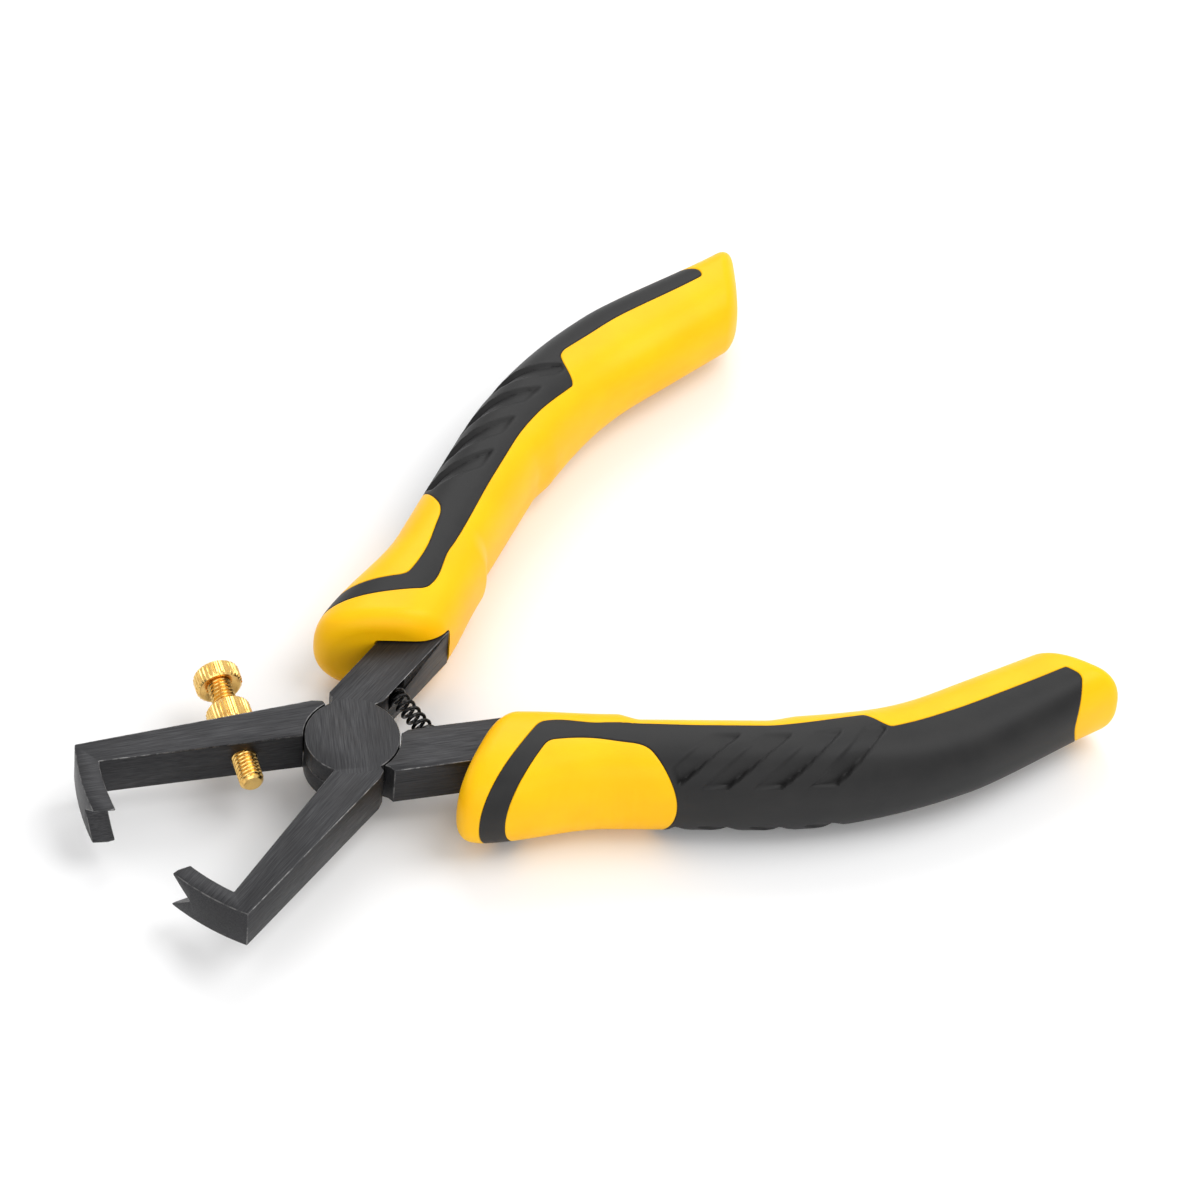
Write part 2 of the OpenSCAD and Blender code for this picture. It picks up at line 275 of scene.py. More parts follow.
@dataclass(frozen=True)
class Datum:
    """Where the tool's own axes lie in the shared frame, read off the CAD pieces.

    Attributes:
        half_t: Half the thickness of the forged metal.
        nut_mid: Distance along the screw's axis from the arm's side to the nut's middle.
        screw_turn: Angle of the screw's axis in the plan, in degrees from +X.
    """

    half_t: float = 3.85
    nut_mid: float = 2.25
    screw_turn: float = 72.3

    def middle(self, node: str) -> Vector:
        """The middle of a CAD piece's box, in millimetres."""
        low, high = (Vector(corner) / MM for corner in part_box(node))
        return (low + high) / 2

    def pivot(self) -> Vector:
        """The point on the pivot's axis at the metal's mid-plane."""
        low, _ = (Vector(corner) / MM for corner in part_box("pivot_rivet"))
        middle = self.middle("pivot_rivet")
        return Vector((middle.x, middle.y, low.z + self.half_t))

    def screw_out(self) -> Vector:
        """The direction in which the stop screw's head points."""
        turn = math.radians(self.screw_turn)
        return Vector((math.cos(turn), math.sin(turn), 0))

    def screw_matrix(self) -> Matrix:
        """Turns the screw's own axes, with z along its shaft, into the shared frame."""
        out = self.screw_out()
        foot = self.middle("lock_nut") - out * self.nut_mid
        side = Vector((0, 0, 1)).cross(out)
        turn = Matrix((side, out.cross(side), out)).transposed()
        return Matrix.Translation(foot) @ turn.to_4x4()

    def set_down(self, obj: bpy.types.Object, matrix: Matrix, mirrored: bool = False) -> None:
        """Puts a piece that was shaped in millimetres into its place in metres.

        Args:
            obj: The piece.
            matrix: From the piece's own axes to the shared frame, in millimetres.
            mirrored: Whether the piece is the mirror image in y of what was shaped.
        """
        Bench.clean(obj)
        co = Bench.points(obj)
        if mirrored:
            co[:, 1] *= -1
        turn = np.array(matrix)
        Bench.place(obj, (co @ turn[:3, :3].T + turn[:3, 3]) * MM)
        Bench.face_outwards(obj)


# ---------------------------------------------------------------- finishes


class Graph:
    """A material's nodes, with short calls to add and join them."""

    def __init__(self, name: str) -> None:
        """Starts a material that holds only its surface shader and output."""
        self.material = bpy.data.materials.new(name)
        self.material.use_nodes = True
        self.tree = self.material.node_tree
        self.shader = self.tree.nodes["Principled BSDF"]
        self.place = self.add("ShaderNodeTexCoord").outputs["Object"]

    def add(self, kind: str, **settings: object) -> bpy.types.Node:
        """Adds a node and gives it its settings."""
        node = self.tree.nodes.new(kind)
        for key, value in settings.items():
            setattr(node, key, value)
        return node

    def join(self, source: object, target: bpy.types.NodeSocket) -> None:
        """Joins an output to an input, or sets the input to a plain value."""
        if isinstance(source, bpy.types.NodeSocket):
            self.tree.links.new(source, target)
        else:
            target.default_value = source

    def sums(self, kind: str, *values: object) -> bpy.types.NodeSocket:
        """The result of one piece of arithmetic."""
        node = self.add("ShaderNodeMath", operation=kind)
        for value, socket in zip(values, node.inputs):
            self.join(value, socket)
        return node.outputs[0]

    def spread(self, value: object, low: float, high: float, start: float = 0,
               end: float = 1) -> bpy.types.NodeSocket:
        """Maps a value's range onto another one, and holds it there."""
        node = self.add("ShaderNodeMapRange")
        keys = ("Value", "From Min", "From Max", "To Min", "To Max")
        for source, key in zip((value, start, end, low, high), keys):
            self.join(source, node.inputs[key])
        return node.outputs["Result"]

    def blend(self, share: object, first: object, second: object) -> bpy.types.NodeSocket:
        """Mixes two colours: a mix node's colours are its inputs 6 and 7 and its output 2."""
        node = self.add("ShaderNodeMix", data_type="RGBA")
        for source, key in ((share, 0), (first, 6), (second, 7)):
            self.join(source, node.inputs[key])
        return node.outputs[2]

    def choose(self, share: object, first: object, second: object) -> bpy.types.NodeSocket:
        """Mixes two values: a mix node's values are its inputs 2 and 3 and its output 0."""
        node = self.add("ShaderNodeMix", data_type="FLOAT")
        for source, key in ((share, 0), (first, 2), (second, 3)):
            self.join(source, node.inputs[key])
        return node.outputs[0]

    def from_axis(self, pivot: Vector) -> tuple[bpy.types.NodeSocket, bpy.types.NodeSocket]:
        """How far a place lies from the pivot's axis in x, and straight across, in metres."""
        split = self.add("ShaderNodeSeparateXYZ")
        self.join(self.place, split.inputs[0])
        x = self.sums("SUBTRACT", split.outputs[0], pivot.x * MM)
        y = self.sums("SUBTRACT", split.outputs[1], pivot.y * MM)
        far = self.sums("SQRT", self.sums("ADD", self.sums("MULTIPLY", x, x), self.sums("MULTIPLY", y, y)))
        return x, far

    def noise(self, size: float, stretch: Place = (1, 1, 1), turn: float = 0,
              detail: float = 3) -> bpy.types.NodeSocket:
        """Grain with features of a given size.

        Args:
            size: Size of a feature, in millimetres.
            stretch: How many times longer a feature is along each axis.
            turn: Turn of those axes about z, in degrees.
            detail: Layers of finer grain.

        Returns:
            The grain's value, about 0 to 1.
        """
        mapping = self.add("ShaderNodeMapping", vector_type="TEXTURE")
        mapping.inputs["Rotation"].default_value = (0, 0, math.radians(turn))
        mapping.inputs["Scale"].default_value = tuple(size * MM * s for s in stretch)
        self.join(self.place, mapping.inputs["Vector"])
        node = self.add("ShaderNodeTexNoise")
        node.inputs["Scale"].default_value = 1
        node.inputs["Detail"].default_value = detail
        self.join(mapping.outputs[0], node.inputs["Vector"])
        return node.outputs["Fac"]

    def relief(self, height: object, depth: float, strength: float = 1) -> None:
        """Gives the surface a fine relief, its depth in millimetres."""
        node = self.add("ShaderNodeBump")
        node.inputs["Strength"].default_value = strength
        node.inputs["Distance"].default_value = depth * MM
        self.join(height, node.inputs["Height"])
        self.join(node.outputs[0], self.shader.inputs["Normal"])

    def set(self, **values: object) -> None:
        """Sets or joins the surface shader's sockets by their names, with _ for a space."""
        for key, value in values.items():
            self.join(value, self.shader.inputs[key.replace("_", " ")])


def tone(red: float, green: float, blue: float) -> Colour:
    """A colour given in linear light."""
    return (red, green, blue, 1.0)


@dataclass(frozen=True)
class Gunmetal:
    """Forged steel, ground flat and blackened, with the grinding lines left in it.

    Attributes:
        arm_turn: Direction of the lines on the arm, in degrees.
        shank_turn: Direction of the lines on the shank, in degrees.
        disc_turn: Direction of the lines on the disc, in degrees.
        disc_r: Radius of the disc in millimetres.
        dark: Colour in the hollows of the lines.
        light: Colour on the ridges.
        haze: Colour of the duller clouds over both.
    """

    arm_turn: float
    shank_turn: float
    disc_turn: float = 62
    disc_r: float = 7.6
    dark: Colour = tone(0.022, 0.022, 0.024)
    light: Colour = tone(0.050, 0.050, 0.052)
    haze: Colour = tone(0.035, 0.034, 0.035)

    def lines(self, g: Graph, turn: float) -> bpy.types.NodeSocket:
        """Grinding lines in one direction: long fine scratches and a few coarser ones."""
        fine = g.noise(0.09, (42, 1, 1), turn, 2)
        coarse = g.noise(0.28, (26, 1, 1), turn, 3)
        return g.sums("ADD", g.sums("MULTIPLY", fine, 0.65), g.sums("MULTIPLY", coarse, 0.35))

    def material(self, name: str, pivot: Vector) -> bpy.types.Material:
        """Makes the material.

        Args:
            name: The material's name.
            pivot: A point on the pivot's axis, in millimetres.

        Returns:
            The finished material.
        """
        g = Graph(name)
        x, far = g.from_axis(pivot)
        on_arm = g.sums("LESS_THAN", x, 0.0)
        on_disc = g.sums("LESS_THAN", far, self.disc_r * MM)
        strokes = g.choose(on_arm, self.lines(g, self.shank_turn), self.lines(g, self.arm_turn))
        strokes = g.choose(on_disc, strokes, self.lines(g, self.disc_turn))
        bloom = g.noise(3.5, detail=4)
        shade = g.spread(strokes, 0, 1, 0.36, 0.66)
        colour = g.blend(shade, self.dark, self.light)
        colour = g.blend(g.spread(bloom, 0, 0.45, 0.45, 0.75), colour, self.haze)
        g.set(Base_Color=colour, Metallic=0.8, IOR=1.5)
        gloss = g.spread(strokes, 0.52, 0.4, 0.35, 0.65)
        g.set(Roughness=g.sums("ADD", gloss, g.spread(bloom, -0.03, 0.05)))
        g.relief(strokes, 0.02, 0.45)
        return g.material


@dataclass(frozen=True)
class PaintedEdgeHighlight:
    """A painted highlight on the broken edges: lighter steel along every edge, broken into ragged patches of
    the darker black.
    """

    # bright is the painted highlight colour along the edges; black is the darker steel between its patches.
    bright: Colour = tone(0.17, 0.168, 0.166)
    black: Colour = tone(0.055, 0.055, 0.057)

    def material(self, name: str) -> bpy.types.Material:
        """Makes the material."""
        g = Graph(name)
        ragged = g.sums("ADD", g.noise(1.6, detail=4), g.spread(g.noise(0.25), -0.12, 0.12))
        patches = g.spread(ragged, 0, 1, 0.4, 0.62)
        # Painted highlight: the edges are coloured lighter than the faces, in ragged patches.
        g.set(Base_Color=g.blend(patches, self.black, self.bright), Metallic=0.9)
        g.set(Roughness=g.spread(patches, 0.45, 0.3))
        g.relief(g.noise(0.2), 0.02, 0.4)
        return g.material


@dataclass(frozen=True)
class Brass:
    """Turned brass: bright gold, duller and browner in patches."""

    gold: Colour = tone(0.94, 0.62, 0.20)
    brown: Colour = tone(0.62, 0.32, 0.075)

    def material(self, name: str) -> bpy.types.Material:
        """Makes the material."""
        g = Graph(name)
        patches = g.spread(g.noise(1.3, detail=4), 0, 0.6, 0.46, 0.72)
        marks = g.noise(0.12, detail=2)
        g.set(Base_Color=g.blend(patches, self.gold, self.brown), Metallic=1.0)
        g.set(Roughness=g.sums("ADD", g.spread(patches, 0.2, 0.34), g.spread(marks, -0.05, 0.07)))
        g.relief(marks, 0.02, 0.45)
        return g.material


@dataclass(frozen=True)
class BlackWire:
    """Oil-blackened spring wire with faint drawing marks."""

    black: Colour = tone(0.012, 0.012, 0.013)
    rubbed: Colour = tone(0.09, 0.088, 0.086)

    def material(self, name: str) -> bpy.types.Material:
        """Makes the material."""
        g = Graph(name)
        rub = g.spread(g.noise(0.45, detail=4), 0, 1, 0.5, 0.75)
        g.set(Base_Color=g.blend(rub, self.black, self.rubbed), Metallic=0.85)
        g.set(Roughness=g.spread(rub, 0.34, 0.24))
        g.relief(g.noise(0.08), 0.01, 0.4)
        return g.material


@dataclass(frozen=True)
class TurnedSteel:
    """A rivet head faced on a lathe: fine rings about the pivot."""

    dark: Colour = tone(0.05, 0.05, 0.052)
    light: Colour = tone(0.17, 0.168, 0.165)
    ring: float = 0.22

    def material(self, name: str, pivot: Vector) -> bpy.types.Material:
        """Makes the material, its rings centred on the pivot's axis (in millimetres)."""
        g = Graph(name)
        _, far = g.from_axis(pivot)
        wobble = g.spread(g.noise(0.9), -1.2, 1.2)
        rings = g.sums("SINE", g.sums("ADD", g.sums("MULTIPLY", far, 2 * math.pi / (self.ring * MM)), wobble))
        level = g.spread(rings, 0, 1, -1, 1)
        g.set(Base_Color=g.blend(level, self.dark, self.light), Metallic=0.9)
        g.set(Roughness=g.spread(g.noise(0.8), 0.3, 0.46))
        g.relief(level, 0.02, 0.4)
        return g.material


@dataclass(frozen=True)
class YellowPlastic:
    """Hard moulded plastic: warm yellow, satin, with the tool's fine spark-eroded grain."""

    bright: Colour = tone(0.94, 0.515, 0.0015)
    deep: Colour = tone(0.925, 0.475, 0.0008)

    def material(self, name: str) -> bpy.types.Material:
        """Makes the material."""
        g = Graph(name)
        cloud = g.noise(9, detail=3)
        grain = g.noise(0.22, detail=2)
        g.set(Base_Color=g.blend(g.spread(cloud, 0, 1, 0.35, 0.65), self.bright, self.deep))
        g.set(Roughness=g.sums("ADD", g.spread(cloud, 0.36, 0.44), g.spread(grain, -0.04, 0.05)))
        g.set(IOR=1.46, Specular_IOR_Level=0.2, Subsurface_Weight=0.05, Subsurface_Scale=0.002)
        g.relief(grain, 0.018, 0.5)
        return g.material


@dataclass(frozen=True)
class CharcoalRubber:
    """Soft overmould: near black, matte, with a dry sheen and a fine grain."""

    dark: Colour = tone(0.0052, 0.0052, 0.0056)
    worn: Colour = tone(0.0135, 0.013, 0.0128)

    def material(self, name: str) -> bpy.types.Material:
        """Makes the material."""
        g = Graph(name)
        cloud = g.noise(6, detail=4)
        grain = g.noise(0.16, detail=3)
        mixed = g.sums("ADD", g.spread(cloud, 0, 0.7, 0.35, 0.7), g.spread(grain, -0.1, 0.3))
        g.set(Base_Color=g.blend(mixed, self.dark, self.worn))
        g.set(Roughness=g.sums("ADD", g.spread(cloud, 0.46, 0.58), g.spread(grain, -0.05, 0.06)))
        g.set(IOR=1.5, Specular_IOR_Level=0.32, Sheen_Weight=0.02, Sheen_Roughness=0.4)
        g.relief(grain, 0.03, 0.55)
        return g.material


@dataclass(frozen=True)
class StudioFloor:
    """Pale seamless paper with a hardly visible tooth."""

    white: Colour = tone(0.88, 0.88, 0.88)
    grey: Colour = tone(0.86, 0.86, 0.865)

    def material(self, name: str) -> bpy.types.Material:
        """Makes the material."""
        g = Graph(name)
        g.set(Base_Color=g.blend(g.noise(40, detail=4), self.white, self.grey), Roughness=0.85)
        g.relief(g.noise(0.8), 0.05, 0.1)
        return g.material


# ---------------------------------------------------------------- levers


@dataclass
class Lever:
    """One forged lever: its CAD shape with every edge broken, ground and blackened.

    Attributes:
        side: Which lever it is.
        node: Its CAD piece.
        body: The body that it rides on.
        arm_turn: Direction of its arm in the plan, in degrees.
        shank_turn: Direction of its shank in the plan, in degrees.
        edge: Width of the broken edges in millimetres.
        sharp: Edges that turn by more than this many degrees are broken.
        weld: Points closer than this are joined, in millimetres.
        level: Faces that turn by less than this many degrees are one face.
    """

    side: Side
    node: str
    body: str
    arm_turn: float
    shank_turn: float
    edge: float = 0.14
    sharp: float = 30
    weld: float = 0.004
    level: float = 0.6
    piece: bpy.types.Object = field(init=False, default=None)

    def build(self, datum: Datum) -> None:
        """Copies the CAD shape, closes it up and breaks its edges."""
        name = self.side.name.lower()
        mesh = frame["nodes"][self.node].data.copy()
        self.piece = bpy.data.objects.new(f"{name}_lever_forging", mesh)
        bpy.context.scene.collection.objects.link(self.piece)
        Bench.place(self.piece, Bench.points(self.piece) / MM)
        Bench.open_for_work(self.piece, Pick.POINTS)
        bpy.ops.mesh.remove_doubles(threshold=self.weld)
        bpy.ops.mesh.dissolve_limited(angle_limit=math.radians(self.level))
        Bench.clear()
        steel = Gunmetal(self.arm_turn, self.shank_turn).material(f"blackened_steel_{name}", datum.pivot())
        # The bevelled edges (material 1) get the painted highlight: a lighter colour along every edge.
        Bench.dress(self.piece, steel, PaintedEdgeHighlight().material(f"rubbed_edge_{name}"))
        mesh.polygons.foreach_set("material_index", np.zeros(len(mesh.polygons), dtype=np.int32))
        Bench.modify(self.piece, "BEVEL", width=self.edge, segments=2, limit_method="ANGLE",
                     angle_limit=math.radians(self.sharp), use_clamp_overlap=False, material=1,
                     miter_outer="MITER_ARC", harden_normals=False)
        Bench.place(self.piece, Bench.points(self.piece) * MM)
        Bench.smooth(self.piece, 35)

    def mount(self) -> None:
        """Ties the lever to its body, in place of the CAD piece."""
        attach(self.piece, self.body)
        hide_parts(self.node)


@dataclass
class Rivet:
    """The pivot rivet: the CAD piece itself, with a turned finish."""

    node: str = "pivot_rivet"

    def dress(self, datum: Datum) -> None:
        """Gives the CAD piece its finish."""
        obj = frame["nodes"][self.node]
        finish = TurnedSteel().material("turned_rivet", datum.pivot())
        for slot in obj.material_slots:
            slot.material = finish


# ---------------------------------------------------------------- rolled sheets


@dataclass(frozen=True)
class Sheet:
    """A flat marked-out sheet of cells, x along the piece and y round it.

    Attributes:
        name: The piece's name.
        along: Number of cells along it.
        round_: Number of cells round it.
    """

    name: str
    along: int
    round_: int

    def cut(self) -> tuple[bpy.types.Object, Array, Array]:
        """Adds the sheet.

        Returns:
            The object, and each point's row and column numbers.
        """
        Bench.clear()
        bpy.ops.mesh.primitive_grid_add(x_subdivisions=self.along, y_subdivisions=self.round_, size=1)
        obj = Bench.started(self.name)
        co = Bench.points(obj)
        rows = np.rint((co[:, 0] + 0.5) * self.along).astype(int)
        cols = np.rint((co[:, 1] + 0.5) * self.round_).astype(int)
        return obj, rows, cols

    @staticmethod
    def close(obj: bpy.types.Object, gap: float) -> None:
        """Welds a rolled sheet along its seam and fills its two ends."""
        Bench.open_for_work(obj, Pick.POINTS)
        bpy.ops.mesh.remove_doubles(threshold=gap)
        bpy.ops.mesh.fill_holes(sides=0)
        Bench.clear()


@dataclass
class ReturnSpring:
    """The open coil between the shanks, its end turns closed and ground.

    Attributes:
        wire_r: Radius of the wire.
        turns: Number of turns.
        steps: Rings of points in each turn.
        facets: Points round the wire.
        closed: Share of the length that each closed end turn takes.
        climb: Share of the height that each closed end turn climbs.
    """

    wire_r: float = 0.3
    turns: float = 10
    steps: int = 40
    facets: int = 14
    closed: float = 0.1
    climb: float = 0.054
    piece: bpy.types.Object = field(init=False, default=None)

    def build(self, datum: Datum) -> None:
        """Rolls a narrow sheet into wire and winds it."""
        low, high = (Vector(corner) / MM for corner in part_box("return_spring"))
        centre = (low + high) / 2
        coil_r = (high.z - low.z) / 2 - self.wire_r
        span = (high.y - low.y) - 2 * self.wire_r
        count = int(self.turns * self.steps)
        obj, rows, cols = Sheet("return_coil", count, self.facets).cut()
        share = rows / count
        turn = 2 * np.pi * self.turns * share
        knots = (0, self.closed, 1 - self.closed, 1)
        rise = np.interp(share, knots, (0, self.climb, 1 - self.climb, 1))
        out = np.stack([np.cos(turn), np.zeros_like(turn), np.sin(turn)], axis=1)
        round_wire = 2 * np.pi * cols / self.facets
        along_axis = np.array((0.0, 1.0, 0.0))
        co = coil_r * out + np.outer(span * (rise - 0.5), along_axis)
        co += self.wire_r * (np.cos(round_wire)[:, None] * out + np.outer(np.sin(round_wire), along_axis))
        Bench.place(obj, co)
        Sheet.close(obj, 0.01)
        datum.set_down(obj, Matrix.Translation(centre))
        Bench.smooth(obj, 50)
        Bench.dress(obj, BlackWire().material("blackened_wire"))
        self.piece = obj

    def mount(self) -> None:
        """Bakes the coil's place into its mesh and hides the CAD spring."""
        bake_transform(self.piece)
        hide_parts("return_spring")


# ---------------------------------------------------------------- screw and nut


@dataclass(frozen=True)
class Knurl:
    """A straight-knurled thumb wheel, its z along the shaft.

    Attributes:
        radius: Radius over the teeth.
        start: Where its first face lies along the axis.
        length: Its length.
        teeth: Number of teeth.
        tooth: Depth of a tooth.
        chamfer: Size of the broken corners at both ends.
        facets: Points on each tooth.
        rings: Rows of faces from one end to the other.
    """

    radius: float
    start: float
    length: float
    teeth: int = 30
    tooth: float = 0.24
    chamfer: float = 0.45
    facets: int = 8
    rings: int = 5

    def turn(self, name: str) -> bpy.types.Object:
        """Turns a blank, rolls its teeth and breaks its corners.

        Args:
            name: The blank's name.

        Returns:
            The wheel, with two flat faces.
        """
        Bench.clear()
        bpy.ops.mesh.primitive_cylinder_add(vertices=self.teeth * self.facets, radius=self.radius,
                                            depth=self.length, location=(0, 0, self.start + self.length / 2))
        obj = Bench.started(name)
        Bench.open_for_work(obj, Pick.EDGES, Bench.rise(obj) > self.length / 2)
        bpy.ops.mesh.subdivide(number_cuts=self.rings - 1)
        Bench.clear()
        co = Bench.points(obj)
        level = np.rint((co[:, 2] - self.start) / self.length * self.rings).astype(int)
        heights = np.array((0, self.chamfer * 0.5, self.chamfer, self.length - self.chamfer,
                            self.length - self.chamfer * 0.5, self.length))
        angle = np.arctan2(co[:, 1], co[:, 0])
        wave = 0.5 - 0.5 * np.cos(self.teeth * angle)
        groove = np.clip(wave * 1.6 - 0.35, 0, 1) * self.tooth
        held = self.radius - self.chamfer * np.array((1, 0.42, 0, 0, 0.42, 1))[level]
        reach = np.minimum(self.radius - groove, held)
        co[:, 0], co[:, 1] = reach * np.cos(angle), reach * np.sin(angle)
        co[:, 2] = self.start + heights[level]
        Bench.place(obj, co)
        return obj

    def sink(self, obj: bpy.types.Object, z: float, rim: float, floor_r: float, depth: float) -> None:
        """Turns a dish into one face.

        Args:
            obj: The wheel.
            z: Where the face lies.
            rim: Width of the flat rim that stays.
            floor_r: Radius at the dish's floor.
            depth: Depth of the dish.
        """
        Bench.open_for_work(obj, Pick.FACES, self.face_at(obj, z))
        bpy.ops.mesh.inset(thickness=rim, depth=0)
        bpy.ops.mesh.inset(thickness=self.radius - self.chamfer - rim - floor_r, depth=-depth)
        Bench.clear()

    def face_at(self, obj: bpy.types.Object, z: float) -> Array:
        """The flat face that lies at one height."""
        level = np.abs(Bench.centres(obj)[:, 2] - z) < NEAR
        return level & (np.abs(Bench.normals(obj)[:, 2]) > FACING)

    def bore(self, obj: bpy.types.Object, radius: float, countersink: float) -> None:
        """Bores a hole right through, countersunk at both ends.

        Args:
            obj: The wheel.
            radius: The bore's radius.
            countersink: Size of the countersink.
        """
        for z in (self.start, self.start + self.length):
            Bench.open_for_work(obj, Pick.FACES, self.face_at(obj, z))
            bpy.ops.mesh.inset(thickness=self.radius - self.chamfer - radius - countersink, depth=0)
            bpy.ops.mesh.inset(thickness=countersink, depth=-countersink)
            Bench.clear()
        middles, looks = Bench.centres(obj), Bench.normals(obj)
        off_axis = np.hypot(middles[:, 0], middles[:, 1])
        Bench.open_for_work(obj, Pick.FACES, (off_axis < 5 * NEAR) & (np.abs(looks[:, 2]) > FACING))
        bpy.ops.mesh.delete(type="ONLY_FACE")
        Bench.clear()
        co = Bench.points(obj)
        rim = np.abs(np.hypot(co[:, 0], co[:, 1]) - radius) < NEAR
        pairs = Bench.edge_ends(obj)
        Bench.open_for_work(obj, Pick.EDGES, rim[pairs[:, 0]] & rim[pairs[:, 1]])
        bpy.ops.mesh.bridge_edge_loops()
        Bench.clear()


@dataclass
class StopScrew:
    """The brass stop screw: a rolled thread with a pointed end, and a dished knurled head.

    Attributes:
        crest_r: Radius over the thread.
        depth: Depth of the thread.
        pitch: Pitch of the thread.
        tip: Where the screw ends along its axis.
        point: Length of the chamfer at the tip.
        head: The knurled head.
        dish_r: Radius of the dish's floor on the side that faces the nut.
        under: How far the point starts below the thread's root.
        buried: How far the shaft goes into the head.
        facets: Points round the shaft.
    """

    crest_r: float = 1.97
    depth: float = 0.42
    pitch: float = 0.7
    tip: float = -11.2
    point: float = 0.55
    head: Knurl = Knurl(radius=3.75, start=8.9, length=3.0)
    dish_r: float = 1.9
    under: float = 0.12
    buried: float = 1.0
    facets: int = 48
    piece: bpy.types.Object = field(init=False, default=None)

    def shaft(self) -> bpy.types.Object:
        """Rolls the thread on a plain rod."""
        top = self.head.start + self.buried
        length = top - self.tip
        Bench.clear()
        bpy.ops.mesh.primitive_cylinder_add(vertices=self.facets, radius=self.crest_r, depth=length,
                                            location=(0, 0, self.tip + length / 2))
        obj = Bench.started("stop_screw_turned")
        for cuts in (99, 2):
            Bench.open_for_work(obj, Pick.EDGES, Bench.rise(obj) > NEAR)
            bpy.ops.mesh.subdivide(number_cuts=cuts)
            Bench.clear()
        co = Bench.points(obj)
        angle = np.arctan2(co[:, 1], co[:, 0])
        phase = (co[:, 2] / self.pitch - angle / (2 * np.pi)) % 1.0
        flank = np.clip(2 * np.abs(phase - 0.5) * 1.5 - 0.2, 0, 1)
        reach = self.crest_r - self.depth + self.depth * flank
        pointed = (self.crest_r - self.depth - self.under
                   + (co[:, 2] - self.tip) * (self.depth + self.under) / self.point)
        reach = np.minimum(reach, pointed)
        co[:, 0], co[:, 1] = reach * np.cos(angle), reach * np.sin(angle)
        Bench.place(obj, co)
        return obj

    def build(self, datum: Datum) -> None:
        """Makes the shaft and the head and joins them into one solid."""
        wheel = self.head.turn("screw_head_blank")
        self.head.sink(wheel, self.head.start, rim=0.3, floor_r=self.dish_r, depth=0.75)
        self.head.sink(wheel, self.head.start + self.head.length, rim=0.75, floor_r=1.4, depth=0.35)
        self.piece = self.shaft()
        Bench.face_outwards(wheel)
        Bench.face_outwards(self.piece)
        Bench.modify(self.piece, "BOOLEAN", operation="UNION", object=wheel, solver="EXACT")
        Bench.remove(wheel)
        datum.set_down(self.piece, datum.screw_matrix())
        Bench.smooth(self.piece, 38)
        Bench.dress(self.piece, Brass().material("turned_brass_screw"))

    def mount(self) -> None:
        """Ties the screw to its body."""
        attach(self.piece, "screw")
        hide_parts("stop_screw")


@dataclass
class LockNut:
    """The knurled lock nut that jams against the arm.

    Attributes:
        wheel: The knurled blank.
        bore_r: Radius of the bore.
        countersink: Size of the countersinks.
    """

    wheel: Knurl = Knurl(radius=3.6, start=0.05, length=4.4)
    bore_r: float = 2.03
    countersink: float = 0.35
    piece: bpy.types.Object = field(init=False, default=None)

    def build(self, datum: Datum) -> None:
        """Turns, knurls and bores the nut."""
        self.piece = self.wheel.turn("lock_nut_turned")
        self.wheel.bore(self.piece, self.bore_r, self.countersink)
        datum.set_down(self.piece, datum.screw_matrix())
        Bench.smooth(self.piece, 38)
        Bench.dress(self.piece, Brass().material("turned_brass_nut"))

    def mount(self) -> None:
        """Ties the nut to its body."""
        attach(self.piece, "nut")
        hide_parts("lock_nut")


# ---------------------------------------------------------------- grips


def ramp(s: Array, a: float, b: float) -> Array:
    """Rises smoothly from 0 at a to 1 at b."""
    t = np.clip((s - a) / (b - a), 0, 1)
    return t * t * (3 - 2 * t)


def soft_min(a: Array, b: Array, radius: float) -> Array:
    """The lesser of two distances, rounded where they are nearly equal."""
    return np.minimum(a, b) - np.maximum(radius - np.abs(a - b), 0) ** 2 / (4 * radius)


